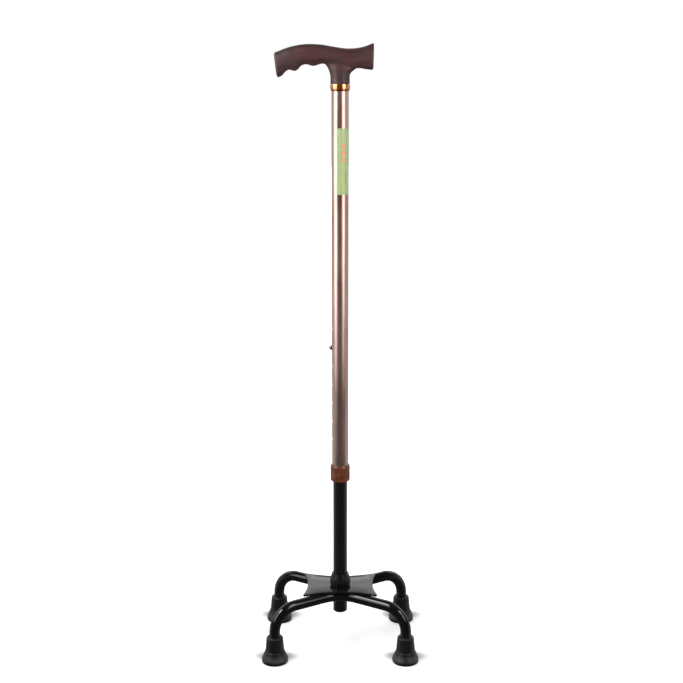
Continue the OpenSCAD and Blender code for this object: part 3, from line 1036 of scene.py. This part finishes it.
def rubber_material():
    """Matt black rubber with a fine grain, and a paler band round the rim and skirt that is part dust and
    part painted sheen.
    """
    material, n = new_material("foot_rubber")
    place = n.place()
    grain = n.noise(place, 3000.0, 2.0)
    blotches = n.noise(place, 120.0, 4.0)
    # Paler band 4 to 11 mm up the foot: partly dust, and partly a painted sheen that stands in for the soft
    # boxes' highlight on the skirt
    rim = n.band(n.split(place)[2], 0.004, 0.011, 0.002)
    dust = n.math("MULTIPLY", rim, n.remap(blotches, 0.35, 0.6, 0.3, 1.0))
    dusty = n.mix(dust, rgb(7, 7, 8), rgb(52, 51, 51))
    worn = n.mix(n.math("MULTIPLY", n.edges(0.53, 0.62), 0.35), dusty, rgb(38, 38, 40))
    n.surface(
        Base_Color=worn,
        Roughness=n.remap(blotches, 0.35, 0.65, 0.34, 0.46),
        Normal=n.bump(grain, 0.00004, 0.5),
        Specular_IOR_Level=0.5,
    )
    return material


def bare_metal_material(name, colour, low, high):
    """Machined metal: turning lines across the axis, mild stains."""
    material, n = new_material(name)
    place = n.place()
    lines = n.noise(n.scaled(place, (300, 300, 6000)), 1.0, 3.0)
    stains = n.noise(place, 220.0, 4.0)
    n.surface(
        Base_Color=n.mix(n.remap(stains, 0.5, 0.75, 0.0, 0.4), colour, rgb(110, 105, 100)),
        Metallic=1.0,
        Roughness=n.remap(stains, 0.3, 0.7, low, high),
        Normal=n.bump(lines, 0.00002, 0.4),
    )
    return material


def nylon_material():
    """Off-white moulded nylon, slightly see-through."""
    material, n = new_material("nylon")
    place = n.place()
    cloud = n.noise(place, 300.0, 3.0)
    n.surface(
        Base_Color=n.mix(cloud, rgb(226, 222, 208), rgb(240, 237, 228)),
        Roughness=n.remap(cloud, 0.3, 0.7, 0.38, 0.52),
        Subsurface_Weight=0.15,
        Subsurface_Scale=0.001,
        Normal=n.bump(n.noise(place, 2000.0, 2.0), 0.00003, 0.4),
    )
    return material


def label_material():
    """Pale green film with a darker border and plain printed bars, drawn by angle and height."""
    material, n = new_material("label_film")
    low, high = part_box("tube_label")
    place = n.place()
    x, y, z = n.split(place)
    across = n.remap(n.math("ARCTAN2", y, x), LABEL_FROM, LABEL_TO, 0.0, 1.0)
    up = n.remap(z, low.z, high.z, 0.0, 1.0)

    def block(left, right, bottom, top):
        return n.math("MULTIPLY", n.band(across, left, right, 0.012), n.band(up, bottom, top, 0.004))

    def bars(left, right, bottom, top, count, share):
        """Equal bars, one above another, that fill that share of the height."""
        phase = n.math("FRACT", n.math("MULTIPLY", n.remap(up, bottom, top, 0.0, 1.0), float(count)))
        stripes = n.band(phase, 0.5 - share / 2, 0.5 + share / 2, 0.06)
        return n.math("MULTIPLY", block(left, right, bottom, top), stripes)

    tint = n.noise(place, 120.0, 3.0)
    film = n.mix(tint, rgb(126, 144, 98), rgb(142, 154, 104))
    frame_line = n.math("SUBTRACT", block(0.05, 0.95, 0.02, 0.98), block(0.085, 0.915, 0.03, 0.97))
    coloured = n.mix(n.math("MULTIPLY", frame_line, 0.8), film, rgb(88, 138, 88))
    panel = (0.27, 0.7, 0.47, 0.78)
    striped_panel = n.math("MULTIPLY", bars(*panel, 3, 0.7), bars(*panel, 12, 0.62))
    # Each print: where it is, its colour, how strongly it covers the film
    printed = [
        (striped_panel, rgb(208, 92, 56), 0.85),
        (bars(0.28, 0.46, 0.84, 0.92, 2, 0.5), rgb(180, 124, 80), 0.6),
        (bars(0.25, 0.42, 0.06, 0.36, 9, 0.5), rgb(182, 142, 70), 0.55),
        (bars(0.6, 0.7, 0.18, 0.34, 7, 0.55), rgb(50, 72, 48), 0.7),
        (block(0.17, 0.19, 0.08, 0.92), rgb(96, 130, 76), 0.6),
    ]
    for mask, colour, strength in printed:
        coloured = n.mix(n.math("MULTIPLY", mask, strength), coloured, colour)
    n.surface(
        Base_Color=coloured,
        Roughness=n.remap(tint, 0.3, 0.7, 0.34, 0.46),
        Normal=n.bump(tint, 0.00002, 0.3),
        Coat_Weight=0.3,
        Coat_Roughness=0.25,
    )
    return material


def make_materials():
    """One material for each of the record's slots."""
    return {
        "grip": grip_material(),
        "gold": gold_material(),
        "rose_tube": anodised_material("rose_anodised", rgb(212, 179, 167), rgb(188, 150, 137), 0.26, 0.34),
        "black_tube": coated_material("black_anodised", rgb(4, 4, 4), 0.26, 0.36, 0.00002, rgb(26, 26, 26)),
        "black_gloss": coated_material(
            "black_gloss_paint", rgb(4, 4, 5), 0.06, 0.12, 0.00002, rgb(26, 26, 27),
        ),
        "brown_plastic": collar_material(),
        "black_plastic": coated_material(
            "black_plastic", rgb(7, 7, 8), 0.2, 0.32, 0.00004, rgb(34, 34, 34),
        ),
        "nylon": nylon_material(),
        "steel": bare_metal_material("plated_steel", rgb(140, 139, 136), 0.24, 0.38),
        "spring_steel": bare_metal_material("spring_steel", rgb(150, 155, 165), 0.22, 0.36),
        "raw_aluminium": bare_metal_material("raw_aluminium", rgb(190, 192, 195), 0.3, 0.45),
        "foot_rubber": rubber_material(),
        "label_film": label_material(),
    }


# ---------------------------------------------------------------- assembly

def add(piece, body, slot):
    """A piece rides on that body and takes that slot's material."""
    piece.data.materials.clear()
    piece.data.materials.append(MATERIALS[slot])
    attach(piece, body)


def put(piece, body, slot, node):
    """A piece takes the place of a CAD node on that body."""
    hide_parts(node)
    add(piece, body, slot)


def keep(node, slot):
    """A CAD node stays as it is and gets a material."""
    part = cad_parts[node]
    part.data.materials.clear()
    part.data.materials.append(MATERIALS[slot])


MATERIALS = make_materials()
put(handle_grip(), "upper_shaft", "grip", "handle_grip")
put(trim_ring(), "upper_shaft", "gold", "trim_ring")
put(upper_tube(), "upper_shaft", "rose_tube", "upper_tube")
put(label(), "upper_shaft", "label_film", "tube_label")
put(lock_collar(), "collar", "brown_plastic", "lock_collar")
put(lower_tube(), "shaft", "black_tube", "lower_tube")
put(snap_button(), "button", "steel", "snap_button")
put(lock_nut(), "lock_nut", "black_plastic", "base_lock_nut")
put(star_plate(), "base", "black_gloss", "base_plate")
put(leg_tube("front_leg", -1), "base", "black_gloss", "front_leg_tube")
put(leg_tube("back_leg", 1), "base", "black_gloss", "back_leg_tube")
for foot in ("foot_front_left", "foot_front_right", "foot_back_left", "foot_back_right"):
    put(rubber_foot(foot), "base", "foot_rubber", foot)
put(end_plug(), "shaft", "black_plastic", "shaft_end_cap")
add(weld_beads(), "base", "black_gloss")

KEPT = {
    "handle_stud": "steel",
    "tube_top_plug": "raw_aluminium",
    "guide_bush": "black_plastic",
    "compression_ring": "nylon",
    "inner_glide": "black_plastic",
    "snap_spring": "spring_steel",
    "thrust_washer": "nylon",
    "stop_ring": "steel",
    "base_socket": "black_gloss",
    "foot_discs": "steel",
}
for kept_node, kept_slot in KEPT.items():
    keep(kept_node, kept_slot)


# ---------------------------------------------------------------- studio

# Soft boxes: direction as an angle from the camera's side towards +X, distance, half width,
# bottom, top, level of the lower part, level of the part above the camera (metres and degrees)
SOFT_BOXES = [
    (-64, 0.75, 0.4, 0.12, 1.6, 3.7, 14.0),
    (48, 0.75, 0.33, 0.17, 1.4, 3.8, 10.0),
]
BOX_SOFT_X = 0.13
BOX_SOFT_Z = 0.17
BOX_STEP_Z = 0.86
BOX_STEP_SOFT = 0.06
BACK_WALL_LEVEL = 1.45
CEILING_LEVEL = 0.15
AMBIENT = 0.13
SIDE_LEVEL = 0.55
RIM_LEVEL = 1.3
DIFFUSE_FILL = 0.45
# The floor's own glow: level under the cane and far from it, and how far out it starts and ends to rise
FLOOR_GLOW = (0.2, 0.8)
FLOOR_RISE = (0.12, 0.5)
FLOOR_HALF = 8
FLOOR_DROP = 0.0002
# Soft shade on the floor behind each foot: half width, half depth, how far back, level beside the foot
FOOT_SHADE_X = 0.036
FOOT_SHADE_Y = 0.021
FOOT_SHADE_BACK = 0.016
FOOT_SHADE = 0.35


def studio_world():
    """A white room to the camera, and paler side and back walls round dark ones to everything else."""
    world = bpy.data.worlds.new("studio")
    bpy.context.scene.world = world
    world.use_nodes = True
    n = Nodes(world.node_tree)
    x, y, z = n.split(n.add("ShaderNodeTexCoord").outputs["Generated"])
    to_degrees = math.degrees(1)
    azimuth = n.math("MULTIPLY", n.math("ARCTAN2", x, n.math("MULTIPLY", y, -1.0)), to_degrees)
    elevation = n.math("MULTIPLY", n.math("ARCSINE", z), to_degrees)
    away = n.math("ABSOLUTE", azimuth)
    level = AMBIENT
    # Each part: where it is round the cane, with 0 at the camera's side, and how high, in degrees; its level
    parts = [
        (n.remap(away, 120, 150, 0.0, 1.0, True), n.band(elevation, 7, 44, 5), BACK_WALL_LEVEL),
        (n.band(away, 75, 145, 10), n.band(elevation, -30, 6, 8), SIDE_LEVEL),
        (n.band(away, 112, 140, 8), n.band(elevation, 4, 45, 8), RIM_LEVEL),
        (n.remap(elevation, 60, 75, 0.0, 1.0, True), 1.0, CEILING_LEVEL),
    ]
    for around, upright, power in parts:
        level = n.math("ADD", level, n.math("MULTIPLY", n.math("MULTIPLY", around, upright), power))
    rays = n.add("ShaderNodeLightPath").outputs
    level = n.math("ADD", level, n.math("MULTIPLY", rays["Is Diffuse Ray"], DIFFUSE_FILL))
    room = n.add("ShaderNodeBackground", {"Strength": level})
    white = n.add("ShaderNodeBackground", {"Color": (1, 1, 1, 1), "Strength": 1.0})
    out = n.add("ShaderNodeMixShader", {0: rays["Is Camera Ray"], 1: room.outputs[0], 2: white.outputs[0]})
    n.add("ShaderNodeOutputWorld", {"Surface": out.outputs[0]})


def soft_box(name, azimuth, distance, half_width, bottom, top, lower_level, upper_level):
    """An upright glowing panel beside the cane, faded towards its edges and unseen by the camera."""
    bm = bmesh.new()
    corners = [(-half_width, bottom), (half_width, bottom), (half_width, top), (-half_width, top)]
    bm.faces.new([bm.verts.new((x, -distance, z)) for x, z in corners])
    panel = to_object(bm, name)
    panel.rotation_euler.z = math.radians(azimuth)
    material, n = new_material(name)
    x, _, z = n.split(n.place())
    around = n.band(x, BOX_SOFT_X - half_width, half_width - BOX_SOFT_X, BOX_SOFT_X)
    upright = n.band(z, bottom + BOX_SOFT_Z, top - BOX_SOFT_Z, BOX_SOFT_Z)
    level = n.remap(
        z, BOX_STEP_Z - BOX_STEP_SOFT, BOX_STEP_Z + BOX_STEP_SOFT, lower_level, upper_level, smooth=True,
    )
    power = n.math("MULTIPLY", n.math("MULTIPLY", around, upright), level)
    glow = n.add("ShaderNodeEmission", {"Strength": power})
    n.add("ShaderNodeOutputMaterial", {"Surface": glow.outputs[0]})
    panel.data.materials.append(material)
    panel.visible_camera = False
    panel.visible_shadow = False


def studio_floor():
    """A plain white floor, clear from below, that the glossy parts don't mirror."""
    bm = bmesh.new()
    bmesh.ops.create_grid(bm, x_segments=1, y_segments=1, size=FLOOR_HALF)
    floor = to_object(bm, "studio_floor")
    material, n = new_material("white_floor")
    white = rgb(250, 250, 250)
    outward = n.length(n.place())
    glow = n.remap(outward, *FLOOR_RISE, *FLOOR_GLOW, smooth=True)
    foot = centre_of("foot_front_right") * MM
    x, y, _ = n.split(n.place())
    beside = n.math("SUBTRACT", n.math("ABSOLUTE", x), foot.x)
    behind = n.math("ADD", n.math("ABSOLUTE", n.math("SUBTRACT", y, FOOT_SHADE_BACK)), foot.y)
    from_foot = n.length(n.add("ShaderNodeCombineXYZ", {
        0: n.math("DIVIDE", beside, FOOT_SHADE_X), 1: n.math("DIVIDE", behind, FOOT_SHADE_Y),
    }).outputs[0])
    shade = n.remap(from_foot, 0.4, 1.0, FOOT_SHADE, 1.0, smooth=True)
    shaded = n.mix(shade, rgb(0, 0, 0), white)
    paint = n.add("ShaderNodeBsdfPrincipled", {
        "Base Color": shaded, "Roughness": 0.9, "Emission Color": shaded, "Emission Strength": glow,
    })
    below = n.add("ShaderNodeNewGeometry").outputs["Backfacing"]
    clear = n.add("ShaderNodeBsdfTransparent")
    one_sided = n.add("ShaderNodeMixShader", {0: below, 1: paint.outputs[0], 2: clear.outputs[0]})
    n.add("ShaderNodeOutputMaterial", {"Surface": one_sided.outputs[0]})
    floor.data.materials.append(material)
    floor.visible_glossy = False
    floor.location.z = -FLOOR_DROP


# The camera: place in metres, degrees that it looks down, lens and sensor width in millimetres
CAMERA_PLACE = (0.0018, -1.66, 0.798)
CAMERA_DOWN = 12.58
CAMERA_LENS = 67.41
CAMERA_SENSOR = 36


def camera():
    """The viewpoint: level with the handle and looking down a little, from the front."""
    data = bpy.data.cameras.new("camera")
    data.lens = CAMERA_LENS
    data.sensor_width = CAMERA_SENSOR
    view = bpy.data.objects.new("camera", data)
    view.location = CAMERA_PLACE
    view.rotation_euler = (math.radians(90 - CAMERA_DOWN), 0, 0)
    bpy.context.scene.collection.objects.link(view)
    bpy.context.scene.camera = view


studio_world()
studio_floor()
for box_index, box_values in enumerate(SOFT_BOXES):
    soft_box(f"soft_box_{box_index + 1}", *box_values)
camera()
bpy.context.scene.view_settings.view_transform = "Standard"
